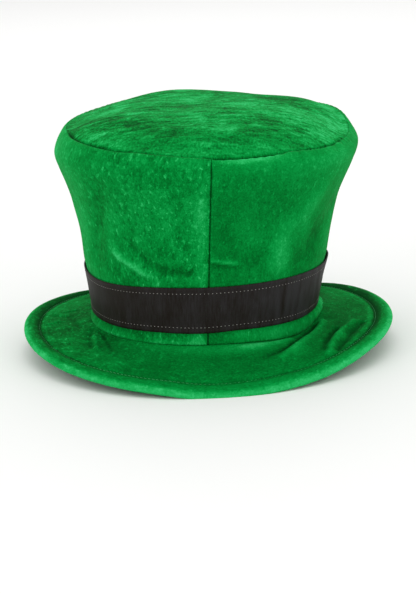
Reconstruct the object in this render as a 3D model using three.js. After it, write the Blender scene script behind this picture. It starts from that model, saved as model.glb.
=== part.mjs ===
// A flared velvet top hat of the leprechaun kind: a tall crown that widens upwards in a hollow curve and
// closes with a puffed round top, a drooping brim with a padded rim, and a plain satin band. The hat lies
// on its brim as it would by itself, and rests on the back and the front of the rim.
//
// Millimetres, +Z up. The origin is on the floor, under the middle of the brim. The front of the hat
// faces -Y, the seam at its back faces +Y, and the wearer's left is +X. A turn is an angle round the hat,
// in degrees: 0 at the wearer's left, 90 at the back, 180 at the wearer's right and 270 at the front.

import * as THREE from "three";

// The opening for the head, and the cloth
const HEAD_WIDTH = 179; // inside the crown at its narrowest, ear to ear
const HEAD_LENGTH = 187; // the same, brow to nape
const CLOTH = 3; // velvet bonded to foam
const GAP = 0.3; // left between two pieces that are sewn together

// The crown
const CROWN_HEIGHT = 155; // brim seam to top seam, on the average
const CROWN_WIDTH = 244.6; // outside, at its widest, ear to ear
const CROWN_SHIFT = 2.6; // the crown stands this far towards the wearer's left on the brim
const CROWN_LEAN = 7.2; // and leans this far back towards the wearer's right at its top
const BAND_BULGE = 6; // the height in which the crown swells out again over the band
const SHOULDER_RISE = 14; // widest place to top seam, on the average
const SHOULDER_INSET = 8.3; // how far inside the widest place the top seam runs
const TOP_DOME = 19; // how far the top panel puffs up over its seam
const TOP_FULLNESS = 3.8; // a larger number is flatter in the middle and steeper at the seam
const TOP_LIP = 6; // the edge of the top panel, turned down inside the seam
const SEAM_OPEN = 1.5; // the groove of the back seam, across
const SEAM_DEPTH = 1.1; // and its depth
const SEAM_TURN = 91; // where the back seam stands

// The band
const BAND_HEIGHT = 38;
const BAND_CLOTH = 1.2; // folded satin
const BAND_RISE = 9.5; // brim seam to the band's lower edge

// The brim
const BRIM_REACH = 58.5; // crown to outer edge, along the cloth
const BRIM_CLOTH = 4; // two layers of velvet and their stiffener
const BRIM_DROP = 25; // how far the rim hangs below the brim seam at its lowest
const BRIM_SAG = 2.5; // how far the cloth sinks between the crown and the rim at the sides
const BRIM_START = 0.72; // the slope at which the brim leaves the crown, as a share of its average slope
const RIM_WIDTH = 13.5; // the padded rim outside the row of stitches
const RIM_ROLL = 6.5; // its thickness
const STITCH_PINCH = 2.2; // the thickness left under the row of stitches
const SETTLE = 1.8; // how much the hat's weight flattens the rim where it rests
const SEAT_SAG = 5; // how far the brim seam sags where the cloth is creased, at its lowest
const SEAT_FADE = 0.35; // the share of the brim's reach in which that sag fades out

// Folds, in the lengths that their tables follow
const FOLD_WIDTH = 14;
const FOLD_HEIGHT = 4;
const FOLD_FADE = 0.1; // the share of the cloth in which folds fade out beside a seam

// How finely the pieces are faceted: columns round the hat, and rows in the band, up the flare and over
// the shoulder
const COLUMNS = 80;
const BAND_ROWS = 3;
const FLARE_ROWS = 6;
const SHOULDER_ROWS = 3;

// The crown's outline: height as a share of the height of its widest place, and how far it has flared
// there, as a share of the way from its narrowest radius to its widest
const CROWN_FLARE = [
  { rise: 0.0, flare: 0.05 },
  { rise: 0.07, flare: 0.0 },
  { rise: 0.19, flare: 0.08 },
  { rise: 0.335, flare: 0.19 },
  { rise: 0.385, flare: 0.245 },
  { rise: 0.53, flare: 0.33 },
  { rise: 0.62, flare: 0.4 },
  { rise: 0.72, flare: 0.52 },
  { rise: 0.82, flare: 0.7 },
  { rise: 0.91, flare: 0.875 },
  { rise: 1.0, flare: 1.0 },
];

// The line of the top seam: how far it runs above the crown's widest place at each turn, as a share of
// the average
const TOP_LINE = [
  { turn: 0, rise: 1.3 },
  { turn: 22, rise: 1.22 },
  { turn: 45, rise: 1.1 },
  { turn: 65, rise: 0.93 },
  { turn: 91, rise: 0.73 },
  { turn: 120, rise: 0.7 },
  { turn: 150, rise: 0.56 },
  { turn: 172, rise: 0.55 },
  { turn: 186, rise: 0.95 },
  { turn: 200, rise: 1.35 },
  { turn: 216, rise: 1.42 },
  { turn: 242, rise: 1.15 },
  { turn: 275, rise: 1.4 },
  { turn: 310, rise: 1.55 },
  { turn: 338, rise: 1.47 },
];

// Folds of the crown's side. Rises are shares of the height of its widest place, widths and lifts are
// shares of the fold lengths, and a negative lift is a dent
const CROWN_FOLDS = [
  { fromTurn: 49, fromRise: 0.56, toTurn: 66, toRise: 0.41, width: 0.65, lift: 0.6 },
  { fromTurn: 58, fromRise: 0.64, toTurn: 76, toRise: 0.48, width: 0.8, lift: -0.6 },
  { fromTurn: 159, fromRise: 0.8, toTurn: 131, toRise: 0.42, width: 1.3, lift: -0.8 },
  { fromTurn: 44, fromRise: 0.88, toTurn: 31, toRise: 0.5, width: 0.8, lift: -0.35 },
  { fromTurn: 212, fromRise: 0.78, toTurn: 236, toRise: 0.5, width: 1.2, lift: -0.5 },
  { fromTurn: 318, fromRise: 0.74, toTurn: 296, toRise: 0.46, width: 1.0, lift: -0.45 },
];

// The height line of the rim: how far it hangs below the brim seam at each turn, as a share of the
// largest drop
const RIM_LINE = [
  { turn: 0, drop: 0.13 },
  { turn: 14, drop: 0.23 },
  { turn: 28, drop: 0.37 },
  { turn: 44, drop: 0.54 },
  { turn: 62, drop: 0.7 },
  { turn: 77, drop: 0.84 },
  { turn: 87, drop: 1.0 },
  { turn: 97, drop: 1.02 },
  { turn: 108, drop: 0.94 },
  { turn: 125, drop: 0.76 },
  { turn: 137, drop: 0.55 },
  { turn: 148, drop: 0.35 },
  { turn: 165, drop: 0.17 },
  { turn: 180, drop: 0.12 },
  { turn: 200, drop: 0.13 },
  { turn: 216, drop: 0.22 },
  { turn: 230, drop: 0.42 },
  { turn: 252, drop: 0.9 },
  { turn: 270, drop: 1.02 },
  { turn: 288, drop: 0.9 },
  { turn: 310, drop: 0.37 },
  { turn: 328, drop: 0.18 },
  { turn: 345, drop: 0.1 },
];

// The line of the brim seam: how far it sags at each turn, as a share of the largest sag
const SEAT_LINE = [
  { turn: 0, sag: 0 },
  { turn: 90, sag: 0 },
  { turn: 100, sag: 0.04 },
  { turn: 114, sag: 0.3 },
  { turn: 128, sag: 0.72 },
  { turn: 140, sag: 1.0 },
  { turn: 151, sag: 0.85 },
  { turn: 162, sag: 0.4 },
  { turn: 174, sag: 0.05 },
  { turn: 186, sag: 0 },
  { turn: 270, sag: 0 },
];

// The brim's section from the crown out to its edge: shares of the field inside the stitches, then of the
// rim outside them. Full is the share of that part's own thickness
const FIELD_SECTION = [
  { reach: 0.17, full: 1.0 },
  { reach: 0.42, full: 1.0 },
  { reach: 0.68, full: 1.0 },
  { reach: 0.92, full: 0.9 },
];
const RIM_SECTION = [
  { reach: 0.16, full: 0.78 },
  { reach: 0.45, full: 1.0 },
  { reach: 0.78, full: 0.86 },
  { reach: 0.96, full: 0.42 },
];

// Folds of the brim. Reaches are shares of the brim's reach, widths and lifts are shares of the fold
// lengths
const BRIM_FOLDS = [
  { fromTurn: 149, fromReach: 0.1, toTurn: 114, toReach: 0.44, width: 0.6, lift: -0.7 },
  { fromTurn: 157, fromReach: 0.18, toTurn: 122, toReach: 0.46, width: 0.6, lift: 0.7 },
  { fromTurn: 160, fromReach: 0.36, toTurn: 132, toReach: 0.64, width: 0.65, lift: -0.9 },
  { fromTurn: 26, fromReach: 0.1, toTurn: 48, toReach: 0.38, width: 0.7, lift: -0.5 },
  { fromTurn: 205, fromReach: 0.14, toTurn: 222, toReach: 0.5, width: 0.8, lift: -0.5 },
  { fromTurn: 325, fromReach: 0.16, toTurn: 310, toReach: 0.5, width: 0.8, lift: -0.5 },
];

const { clamp, degToRad, radToDeg, smoothstep, euclideanModulo } = THREE.MathUtils;

const lengthExtra = (HEAD_LENGTH - HEAD_WIDTH) / 2; // the hat is longer than wide by this on each end
const waistRadius = HEAD_WIDTH / 2 + CLOTH;
const widestRadius = CROWN_WIDTH / 2;
const widestHeight = CROWN_HEIGHT - SHOULDER_RISE;
const seamRadius = widestRadius - SHOULDER_INSET;
const bandTop = BAND_RISE + BAND_HEIGHT;
const fieldReach = BRIM_REACH - RIM_WIDTH;
const brimSeamHeight = BRIM_DROP + RIM_ROLL / 2 - SETTLE; // above the floor

// A smooth curve through a table's rows, level at its first and its last row
function smoothed(rows, key, column) {
  const slopes = rows.map((row, i) =>
    i > 0 && i < rows.length - 1
      ? (rows[i + 1][column] - rows[i - 1][column]) / (rows[i + 1][key] - rows[i - 1][key])
      : 0,
  );
  return (at) => {
    let i = 0;
    while (i < rows.length - 2 && rows[i + 1][key] < at) i++;
    const [a, b] = [rows[i], rows[i + 1]];
    const span = b[key] - a[key];
    const t = clamp((at - a[key]) / span, 0, 1);
    const rest = 1 - t;
    return (
      (1 + 2 * t) * rest * rest * a[column] +
      (3 - 2 * t) * t * t * b[column] +
      t * rest * span * (rest * slopes[i] - t * slopes[i + 1])
    );
  };
}

const flareAt = smoothed(CROWN_FLARE, "rise", "flare");
const crownRadius = (height) =>
  waistRadius + (widestRadius - waistRadius) * flareAt(height / widestHeight);
const baseRadius = crownRadius(0);

// A smooth curve through a table that goes all the way round, so its rows are laid three times over
function smoothedRound(rows, column) {
  const laps = [-360, 0, 360].flatMap((lap) => rows.map((row) => ({ ...row, turn: row.turn + lap })));
  const curve = smoothed(laps, "turn", column);
  return (turn) => curve(euclideanModulo(radToDeg(turn), 360));
}

const rimLine = smoothedRound(RIM_LINE, "drop");
const topLine = smoothedRound(TOP_LINE, "rise");
const seatLine = smoothedRound(SEAT_LINE, "sag");
const rimDrop = (turn) => BRIM_DROP * rimLine(turn);
const seatSag = (turn) => SEAT_SAG * seatLine(turn);
const topLift = (turn) => SHOULDER_RISE * (topLine(turn) - 1); // of the seam, over its average height

// How far the folds of a table lift the cloth at one place. Each fold is a rounded ridge or valley along
// a line on the cloth, and fades out round both of its ends
function foldLift(folds, share, turn, at, radius, length) {
  const fromName = "from" + share;
  const toName = "to" + share;
  const here = (foldTurn, foldShare) => {
    const apart = euclideanModulo(foldTurn - radToDeg(turn) + 180, 360) - 180;
    return new THREE.Vector2(degToRad(apart) * radius, (foldShare - at) * length);
  };
  return folds.reduce((lift, fold) => {
    const start = here(fold.fromTurn, fold[fromName]);
    const line = here(fold.toTurn, fold[toName]).sub(start);
    const along = clamp(-start.dot(line) / line.lengthSq(), 0, 1);
    const away = start.addScaledVector(line, along).length() / (fold.width * FOLD_WIDTH);
    return lift + fold.lift * FOLD_HEIGHT * Math.exp(-away * away);
  }, 0);
}

// A place on the hat from its turn, its radius at the sides and its height over the brim seam. The hat is
// oval
const place = (turn, radius, height, shift) =>
  new THREE.Vector3(
    shift + radius * Math.cos(turn),
    (radius + lengthExtra) * Math.sin(turn),
    brimSeamHeight + height,
  );

// The crown stands a little off the middle of the brim, and leans
const placeOnCrown = (turn, radius, height) =>
  place(turn, radius, height, CROWN_SHIFT - (CROWN_LEAN * height) / CROWN_HEIGHT);

// The columns of every piece stand at the same turns. The middle one of the back is moved on to the back
// seam, and the two beside it are drawn in to the seam's edges, so that its groove is as narrow as the
// real one
const seamTurn = degToRad(SEAM_TURN);
function gathered(turn) {
  const columnsAway = Math.round(((turn - Math.PI / 2) * COLUMNS) / (2 * Math.PI));
  return Math.abs(columnsAway) > 1 ? turn : seamTurn + (columnsAway * SEAM_OPEN) / 2 / waistRadius;
}

// Turns a section of radius and height round the hat, and bends each of its points into place. The bend
// is told the point's turn, radius and height, and which point of the section it is
function turned(section, bend) {
  const geometry = new THREE.LatheGeometry(section, COLUMNS);
  geometry.rotateX(Math.PI / 2);
  const points = geometry.getAttribute("position");
  for (let i = 0; i < points.count; i++) {
    const [x, y, height] = [points.getX(i), points.getY(i), points.getZ(i)];
    const at = bend(gathered(Math.atan2(y, x)), Math.hypot(x, y), height, i % section.length);
    points.setXYZ(i, at.x, at.y, at.z);
  }
  geometry.computeVertexNormals();
  return geometry;
}

// A closed ring of cloth, of an outer outline from the bottom up and an inner one
function ringOf(outer, inner, bend) {
  const section = [...outer, ...inner.toReversed()];
  return turned([...section, section[0]], (turn, radius, height, row) =>
    bend(turn, radius, height, row % section.length),
  );
}

// The point a thickness inside an outline, square to it
function inside(outline, i, thickness) {
  const before = outline[Math.max(i - 1, 0)];
  const after = outline[Math.min(i + 1, outline.length - 1)];
  const way = after.clone().sub(before).normalize();
  return outline[i].clone().add(new THREE.Vector2(-way.y, way.x).multiplyScalar(thickness));
}

// The heights at which the crown's side has a row of points: the band's, then even steps up to the widest
// place
const steps = (from, to, count) =>
  Array.from({ length: count + 1 }, (_, i) => from + ((to - from) * i) / count);
const bandHeights = steps(BAND_RISE, bandTop, BAND_ROWS);
const flareHeights = steps(bandTop + BAND_BULGE, widestHeight, FLARE_ROWS);

// The side of the crown: one strip, joined at the back, with its upper edge rolled in over the shoulder
function crownSide() {
  const outline = [GAP, ...bandHeights, ...flareHeights].map(
    (height) => new THREE.Vector2(crownRadius(height), height),
  );
  for (const angle of steps(0, Math.PI / 2, SHOULDER_ROWS).slice(1)) {
    const radius = seamRadius + GAP / 2 + (SHOULDER_INSET - GAP / 2) * Math.cos(angle);
    outline.push(new THREE.Vector2(radius, widestHeight + SHOULDER_RISE * Math.sin(angle)));
  }
  const lining = outline.map((_, i) => inside(outline, i, CLOTH));
  const seamEdge = outline.at(-1);
  lining[0].set(baseRadius - CLOTH, GAP);
  lining.at(-1).set(seamEdge.x, seamEdge.y - CLOTH);
  return ringOf(outline, lining, (turn, radius, height, row) => {
    const rise = height / widestHeight;
    const overBand = smoothstep(rise, bandTop / widestHeight, bandTop / widestHeight + FOLD_FADE);
    const overShoulder = smoothstep(height, widestHeight, CROWN_HEIGHT);
    const free = overBand * (1 - overShoulder);
    const fold = free * foldLift(CROWN_FOLDS, "Rise", turn, rise, radius, widestHeight);
    const groove = turn === seamTurn && row < outline.length - 1 ? SEAM_DEPTH : 0;
    const sag = seatSag(turn) * (1 - clamp(height / BAND_RISE, 0, 1));
    return placeOnCrown(turn, radius + fold - groove, height - sag + topLift(turn) * overShoulder);
  });
}

// The puffed round top, with its edge turned down inside the seam
function crownTop() {
  const edgeRadius = seamRadius - GAP / 2;
  const UPPER_ROWS = [0, 0.22, 0.46, 0.68, 0.83, 0.92, 0.975, 1]; // shares of the radius
  const UNDER_ROWS = [0, 0.45, 0.74, 0.91, 1];
  const dome = (rows, radius, height) =>
    rows.map(
      (share) => new THREE.Vector2(radius * share, height + TOP_DOME * (1 - share ** TOP_FULLNESS)),
    );
  const underRadius = edgeRadius - CLOTH;
  const lipHeight = CROWN_HEIGHT - CLOTH - TOP_LIP;
  const section = [
    ...dome(UNDER_ROWS, underRadius, CROWN_HEIGHT - CLOTH),
    new THREE.Vector2(underRadius, lipHeight),
    new THREE.Vector2(edgeRadius, lipHeight),
    ...dome(UPPER_ROWS, edgeRadius, CROWN_HEIGHT).reverse(),
  ];
  return turned(section, (turn, radius, height) => {
    const share = radius / seamRadius;
    const at = placeOnCrown(turn, radius, height + topLift(turn) * share ** 2);
    return at.setY(at.y - (1 - share) * lengthExtra * Math.sin(turn)); // the oval closes at the middle
  });
}

// The satin band, laid round the crown over its back seam
function hatBand() {
  const inner = bandHeights.map((height) => new THREE.Vector2(crownRadius(height) + GAP, height));
  const outer = inner.map(({ x, y }) => new THREE.Vector2(x + BAND_CLOTH, y));
  return ringOf(outer, inner, placeOnCrown);
}

// The brim, cut flat and bent down: a level seat under the crown's edge, the field, the pinch of the
// stitches and the padded rim
function brim() {
  const rimStart = baseRadius + fieldReach;
  const half = [
    { radius: baseRadius - CLOTH, thick: BRIM_CLOTH },
    { radius: baseRadius + GAP, thick: BRIM_CLOTH },
    ...FIELD_SECTION.map(({ reach, full }) => ({
      radius: baseRadius + reach * fieldReach,
      thick: full * BRIM_CLOTH,
    })),
    { radius: rimStart, thick: STITCH_PINCH },
    ...RIM_SECTION.map(({ reach, full }) => ({
      radius: rimStart + reach * RIM_WIDTH,
      thick: full * RIM_ROLL,
    })),
  ];
  const edge = new THREE.Vector2(baseRadius + BRIM_REACH, 0);
  const lower = [...half.map(({ radius, thick }) => new THREE.Vector2(radius, -thick / 2)), edge];
  const upper = half.map(({ radius, thick }) => new THREE.Vector2(radius, thick / 2));
  const stitches = fieldReach / BRIM_REACH;
  return ringOf(lower, upper, (turn, radius, offset) => {
    const reach = clamp((radius - baseRadius) / BRIM_REACH, 0, 1);
    const drop = rimDrop(turn);
    const slopeLoss = BRIM_REACH - Math.sqrt(BRIM_REACH ** 2 - drop ** 2);
    const hang = drop * reach * (BRIM_START + (1 - BRIM_START) * reach);
    const sag = BRIM_SAG * (1 - drop / BRIM_DROP) * 4 * reach * (1 - reach);
    const free =
      smoothstep(reach, 0, FOLD_FADE) * (1 - smoothstep(reach, stitches - FOLD_FADE, stitches));
    const fold = free * foldLift(BRIM_FOLDS, "Reach", turn, reach, radius, BRIM_REACH);
    const seat = seatSag(turn) * (1 - smoothstep(reach, 0, SEAT_FADE));
    const height = -BRIM_CLOTH / 2 + offset - hang - sag - seat + fold;
    const at = place(turn, radius - reach * slopeLoss, height, CROWN_SHIFT * (1 - reach));
    return at.setZ(Math.max(at.z, 0));
  });
}

function velvet(color) {
  return new THREE.MeshStandardMaterial({ color, roughness: 0.75, metalness: 0 });
}

function satin(color) {
  return new THREE.MeshStandardMaterial({ color, roughness: 0.5, metalness: 0 });
}

const VELVET_GREEN = 0x0c8a36;
const SATIN_BLACK = 0x262426;

const hat = new THREE.Group();
hat.name = "leprechaun_hat";

function add(name, geometry, material) {
  const mesh = new THREE.Mesh(geometry, material);
  mesh.name = name;
  hat.add(mesh);
}

add("crown_side", crownSide(), velvet(VELVET_GREEN));
add("crown_top", crownTop(), velvet(VELVET_GREEN));
add("hat_band", hatBand(), satin(SATIN_BLACK));
add("brim", brim(), velvet(VELVET_GREEN));

export default hat;
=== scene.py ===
"""The looks of a velvet leprechaun hat, laid round its solids.

The hat is a flared crown with a puffed top, a stitched satin ribbon and a drooping brim with a padded rim.
Sizes are millimetres until a point is placed, and metres from there on. A turn is an angle round the hat:
0 degrees at the wearer's left, 90 at the back, 180 at the wearer's right and 270 at the front.
"""

from __future__ import annotations

import logging
import math
from collections.abc import Callable, Sequence
from dataclasses import dataclass, field
from enum import Enum
from functools import cache, cached_property
from typing import NamedTuple

import bmesh
import bpy
from mathutils import Matrix, Vector, noise

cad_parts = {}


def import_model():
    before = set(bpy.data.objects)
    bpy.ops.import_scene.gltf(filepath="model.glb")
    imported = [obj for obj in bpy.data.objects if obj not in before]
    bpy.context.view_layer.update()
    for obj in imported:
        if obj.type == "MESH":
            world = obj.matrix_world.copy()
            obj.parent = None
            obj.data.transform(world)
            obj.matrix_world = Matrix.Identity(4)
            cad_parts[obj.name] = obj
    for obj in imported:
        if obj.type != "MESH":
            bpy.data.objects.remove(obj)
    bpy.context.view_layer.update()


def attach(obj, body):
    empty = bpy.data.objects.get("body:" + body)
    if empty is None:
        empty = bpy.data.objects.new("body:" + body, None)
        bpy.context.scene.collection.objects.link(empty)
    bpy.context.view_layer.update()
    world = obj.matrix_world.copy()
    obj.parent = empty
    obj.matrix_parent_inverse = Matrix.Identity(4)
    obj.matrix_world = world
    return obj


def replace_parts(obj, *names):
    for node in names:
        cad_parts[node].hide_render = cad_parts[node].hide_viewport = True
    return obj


LOG = logging.getLogger("hat")
MM = 0.001
BODY = "root"
FULL_TURN = 2 * math.pi
FOLD_REACH = 2.5  # a fold ends this many widths from its line
TAPER_START = 0.25  # the share of its line where a fold begins to taper
RoundLine = Callable[[float], float]  # reads a line round the hat at a turn in radians


def clamp(value: float, low: float = 0.0, high: float = 1.0) -> float:
    """Returns the value held between low and high."""
    return min(max(value, low), high)


def smoothstep(value: float, low: float, high: float) -> float:
    """Returns 0 below low and 1 above high, with an even S between them."""
    share = clamp((value - low) / (high - low))
    return share * share * (3 - 2 * share)


def hump(away: float, width: float) -> float:
    """Returns 1 at no distance, falling off as a bell of that width."""
    return math.exp(-((away / width) ** 2))


def steps(low: float, high: float, pitch: float) -> list[float]:
    """Returns even steps from low to high, both included, about a pitch apart."""
    count = max(1, round(abs(high - low) / pitch))
    return [low + (high - low) * i / count for i in range(count + 1)]


def linear(hex_colour: str) -> tuple[float, float, float, float]:
    """Turns an sRGB hex colour to a linear one.

    Args:
        hex_colour: Six hex digits after a #.

    Returns:
        Red, green, blue and an alpha of 1.
    """
    shares = [int(hex_colour[i : i + 2], 16) / 255 for i in (1, 3, 5)]
    red, green, blue = (s / 12.92 if s <= 0.04045 else ((s + 0.055) / 1.055) ** 2.4 for s in shares)
    return red, green, blue, 1.0


@dataclass(frozen=True)
class Curve:
    """A smooth curve through a table of places and values, level at its two ends."""

    table: dict[float, float]

    def __call__(self, at: float) -> float:
        """Reads the curve.

        Args:
            at: A place, on the scale of the table's keys.

        Returns:
            The value there.
        """
        keys = list(self.table)
        at = clamp(at, keys[0], keys[-1])
        i = 0
        while i < len(keys) - 2 and keys[i + 1] < at:
            i += 1
        span = keys[i + 1] - keys[i]
        t = (at - keys[i]) / span
        rest = 1 - t
        a, b = self.table[keys[i]], self.table[keys[i + 1]]
        bend = rest * self.slope(keys, i) - t * self.slope(keys, i + 1)
        return (1 + 2 * t) * rest * rest * a + (3 - 2 * t) * t * t * b + t * rest * span * bend

    def slope(self, keys: list[float], i: int) -> float:
        """Returns the slope at a row, taken from its two neighbours."""
        if not 0 < i < len(keys) - 1:
            return 0.0
        return (self.table[keys[i + 1]] - self.table[keys[i - 1]]) / (keys[i + 1] - keys[i - 1])


def round_curve(table: dict[float, float]) -> RoundLine:
    """Makes a curve that closes round the hat.

    Args:
        table: Turns in degrees from 0 to 360, and the values there.

    Returns:
        A function of the turn in radians.
    """
    curve = Curve({key + lap: value for lap in (-360, 0, 360) for key, value in table.items()})

    @cache
    def read(turn: float) -> float:
        """Returns the value at a turn in radians."""
        return curve(math.degrees(turn) % 360)

    return read


class Place(NamedTuple):
    """A place on a cloth that goes round the hat."""

    turn: float  # in radians
    share: float  # of the way along the cloth
    radius: float
    length: float  # the whole way along the cloth

    def way_to(self, degrees: float, share: float) -> tuple[float, float]:
        """Returns how far round the hat and along the cloth another turn and share lie from here."""
        away = wrapped(math.radians(degrees) - self.turn)
        return away * self.radius, (share - self.share) * self.length


@dataclass(frozen=True)
class Fold:
    """A rounded ridge along a line on the cloth, or a valley if its lift is negative."""

    line: tuple[tuple[float, float], ...]  # turns in degrees, and shares of the way along the cloth
    width: float
    lift: float
    gleam: float = 0.07  # painted light and shade: how much a millimetre of lift lightens the pile, and of dip darkens it
    taper: float = 0.0  # how much of the lift is gone at the end of the line

    @cached_property
    def middle(self) -> tuple[float, float, float]:
        """The turn, in radians, at the middle of the line, half its spread in turns, and half in shares."""
        turns, shares = zip(*self.line)
        low, high = math.radians(min(turns)), math.radians(max(turns))
        return (low + high) / 2, (high - low) / 2, (max(shares) - min(shares)) / 2

    def at(self, place: Place) -> float:
        """Measures the fold at one place.

        Args:
            place: The place.

        Returns:
            How far the fold lifts the cloth there.
        """
        middle, half_turn, half_share = self.middle
        beside = (abs(wrapped(middle - place.turn)) - half_turn) * place.radius
        beyond = (abs(place.share - self.line[0][1]) - 2 * half_share) * place.length
        if max(beside, beyond) > FOLD_REACH * self.width:
            return 0.0
        line = [Vector(place.way_to(*point)) for point in self.line]
        stretches = [distance_to(a, b) for a, b in zip(line, line[1:])]
        nearest = min(stretches)
        along = (stretches.index(nearest) + nearest[1]) / len(stretches)
        kept = 1 - self.taper * smoothstep(along, TAPER_START, 1)
        return self.lift * kept * hump(nearest[0], self.width)


def folded(folds: Sequence[Fold], place: Place) -> tuple[float, float]:
    """Adds up folds at one place.

    Args:
        folds: The folds.
        place: The place.

    Returns:
        How far they lift the cloth, and how much painted light and shade they put on its pile.
    """
    lifts = [fold.at(place) for fold in folds]
    return sum(lifts), sum(lift * fold.gleam for lift, fold in zip(lifts, folds))


class Patch(NamedTuple):
    """A patch of pile that looks lighter or darker: some lie another way, some are painted highlight and
    shade.
    """

    turn: float  # degrees, at its middle
    share: float
    wide: float
    high: float
    shade: float

    def at(self, place: Place) -> float:
        """Returns how much the patch lightens the pile at a place."""
        across, along = place.way_to(self.turn, self.share)
        return self.shade * hump(across, self.wide) * hump(along, self.high)


def patch_rows(*rows: tuple[float, ...]) -> tuple[Patch, ...]:
    """Returns the patches of a table, with a turn, share, width, height and shade in each row."""
    return tuple(Patch(*row) for row in rows)


def brushed_and_painted_shading(patches: Sequence[Patch], place: Place) -> float:
    """Returns how much patches lighten or darken the pile at a place, all together, painted light and shade
    included.
    """
    return sum(patch.at(place) for patch in patches)


def wrapped(turn: float) -> float:
    """Returns a turn as the nearest equal one between minus and plus half a turn."""
    return (turn + math.pi) % FULL_TURN - math.pi


def distance_to(start: Vector, end: Vector) -> tuple[float, float]:
    """Measures a stretch from the origin.

    Args:
        start: Where it starts.
        end: Where it ends.

    Returns:
        How far the origin lies from it, and the share of the stretch where it comes nearest.
    """
    way = end - start
    share = clamp(-start.dot(way) / way.length_squared)
    return (start + way * share).length, share


@dataclass(frozen=True)
class HatForm:
    """The driving sizes of the hat, as its solids have them, and the form that follows from them."""

    head_width: float = 179
    head_length: float = 187
    cloth: float = 3
    gap: float = 0.3
    crown_height: float = 155
    crown_width: float = 244.6
    crown_shift: float = 2.6
    crown_lean: float = 7.2
    shoulder_rise: float = 14
    shoulder_inset: float = 8.3
    top_dome: float = 19
    top_fullness: float = 3.8
    top_lip: float = 6
    seam_turn: float = 91
    band_height: float = 38
    band_cloth: float = 1.2
    band_rise: float = 9.5
    brim_reach: float = 58.5
    brim_cloth: float = 4
    brim_drop: float = 25
    brim_sag: float = 2.5
    brim_start: float = 0.72
    rim_width: float = 13.5
    rim_roll: float = 6.5
    stitch_pinch: float = 2.2
    settle: float = 1.8
    seat_sag: float = 5
    seat_fade: float = 0.35

    # The flare of the crown's outline: shares of its widest height, and of the way to its widest radius
    flare: Curve = Curve(
        {
            0: 0.05, 0.07: 0, 0.19: 0.08, 0.335: 0.19, 0.385: 0.245, 0.53: 0.33, 0.62: 0.4, 0.72: 0.52,
            0.82: 0.7, 0.91: 0.875, 1: 1,
        }
    )

    # Lines round the hat, at turns in degrees: how far the top seam runs over the widest place, as a share
    # of the average, how far the rim hangs, as a share of the largest drop, and how far the brim's seam
    # sags, as a share of the largest sag
    top_line: RoundLine = round_curve(
        {
            0: 1.3, 22: 1.22, 45: 1.1, 65: 0.93, 91: 0.73, 120: 0.7, 150: 0.56, 172: 0.55, 186: 0.95,
            200: 1.35, 216: 1.42, 242: 1.15, 275: 1.4, 310: 1.55, 338: 1.47,
        }
    )
    rim_line: RoundLine = round_curve(
        {
            0: 0.13, 14: 0.23, 28: 0.37, 44: 0.54, 62: 0.7, 77: 0.84, 87: 1, 97: 1.02, 108: 0.94,
            125: 0.76, 137: 0.55, 148: 0.35, 165: 0.17, 180: 0.12, 200: 0.13, 216: 0.22, 230: 0.42,
            252: 0.9, 270: 1.02, 288: 0.9, 310: 0.37, 328: 0.18, 345: 0.1,
        }
    )
    seat_line: RoundLine = round_curve(
        {0: 0, 90: 0, 100: 0.04, 114: 0.3, 128: 0.72, 140: 1, 151: 0.85, 162: 0.4, 174: 0.05, 186: 0}
    )

    # How far the ribbon's two edges sit below their level lines, in millimetres
    ribbon_top_dip: RoundLine = round_curve(
        {0: 0.8, 18: 2.4, 32: 3, 48: 2, 68: 0, 90: -0.6, 115: -0.4, 140: 0.2, 160: 0.7, 180: 0}
    )
    ribbon_low_dip: RoundLine = round_curve(
        {0: 0, 25: 1.2, 45: 1, 65: 0, 90: 0, 105: -0.8, 125: 0.4, 145: 1.7, 160: 1.4, 178: 0}
    )

    @cached_property
    def length_extra(self) -> float:
        """How much longer than wide the hat is, on each end."""
        return (self.head_length - self.head_width) / 2

    @cached_property
    def waist_radius(self) -> float:
        """The outer radius of the crown at its narrowest."""
        return self.head_width / 2 + self.cloth

    @cached_property
    def widest_radius(self) -> float:
        """The outer radius of the crown at its widest."""
        return self.crown_width / 2

    @cached_property
    def widest_height(self) -> float:
        """The height of the crown's widest place."""
        return self.crown_height - self.shoulder_rise

    @cached_property
    def seam_radius(self) -> float:
        """The radius of the seam between the crown's side and its top."""
        return self.widest_radius - self.shoulder_inset

    @cached_property
    def band_top(self) -> float:
        """The height of the ribbon's upper edge."""
        return self.band_rise + self.band_height

    @cached_property
    def base_radius(self) -> float:
        """The outer radius of the crown where it meets the brim."""
        return self.crown_radius(0)

    @cached_property
    def rim_start(self) -> float:
        """The radius of the row of stitches along the rim."""
        return self.base_radius + self.brim_reach - self.rim_width

    @cached_property
    def brim_seam_height(self) -> float:
        """The height of the brim's seam over the floor."""
        return self.brim_drop + self.rim_roll / 2 - self.settle

    def crown_radius(self, height: float) -> float:
        """Returns the outer radius of the crown at a height over the brim's seam."""
        reach = self.widest_radius - self.waist_radius
        return self.waist_radius + reach * self.flare(height / self.widest_height)

    def top_lift(self, turn: float) -> float:
        """Returns how far the top seam runs over its average height."""
        return self.shoulder_rise * (self.top_line(turn) - 1)

    def from_seam(self, turn: float) -> float:
        """Returns the turn from the back seam, positive towards the wearer's right."""
        return wrapped(turn - math.radians(self.seam_turn))

    def ribbon_dip(self, turn: float, height: float) -> float:
        """Measures how far the cloth round the ribbon sits below its level lines.

        Args:
            turn: The place's turn, in radians.
            height: Its height over the brim's seam.

        Returns:
            The distance, which fades out below the ribbon and over it.
        """
        share = clamp((height - self.band_rise) / self.band_height)
        dip = self.ribbon_low_dip(turn) * (1 - share) + self.ribbon_top_dip(turn) * share
        faded = 1 - smoothstep(height, self.band_top, self.band_top + self.band_height)
        return dip * faded * clamp(height / self.band_rise)

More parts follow.
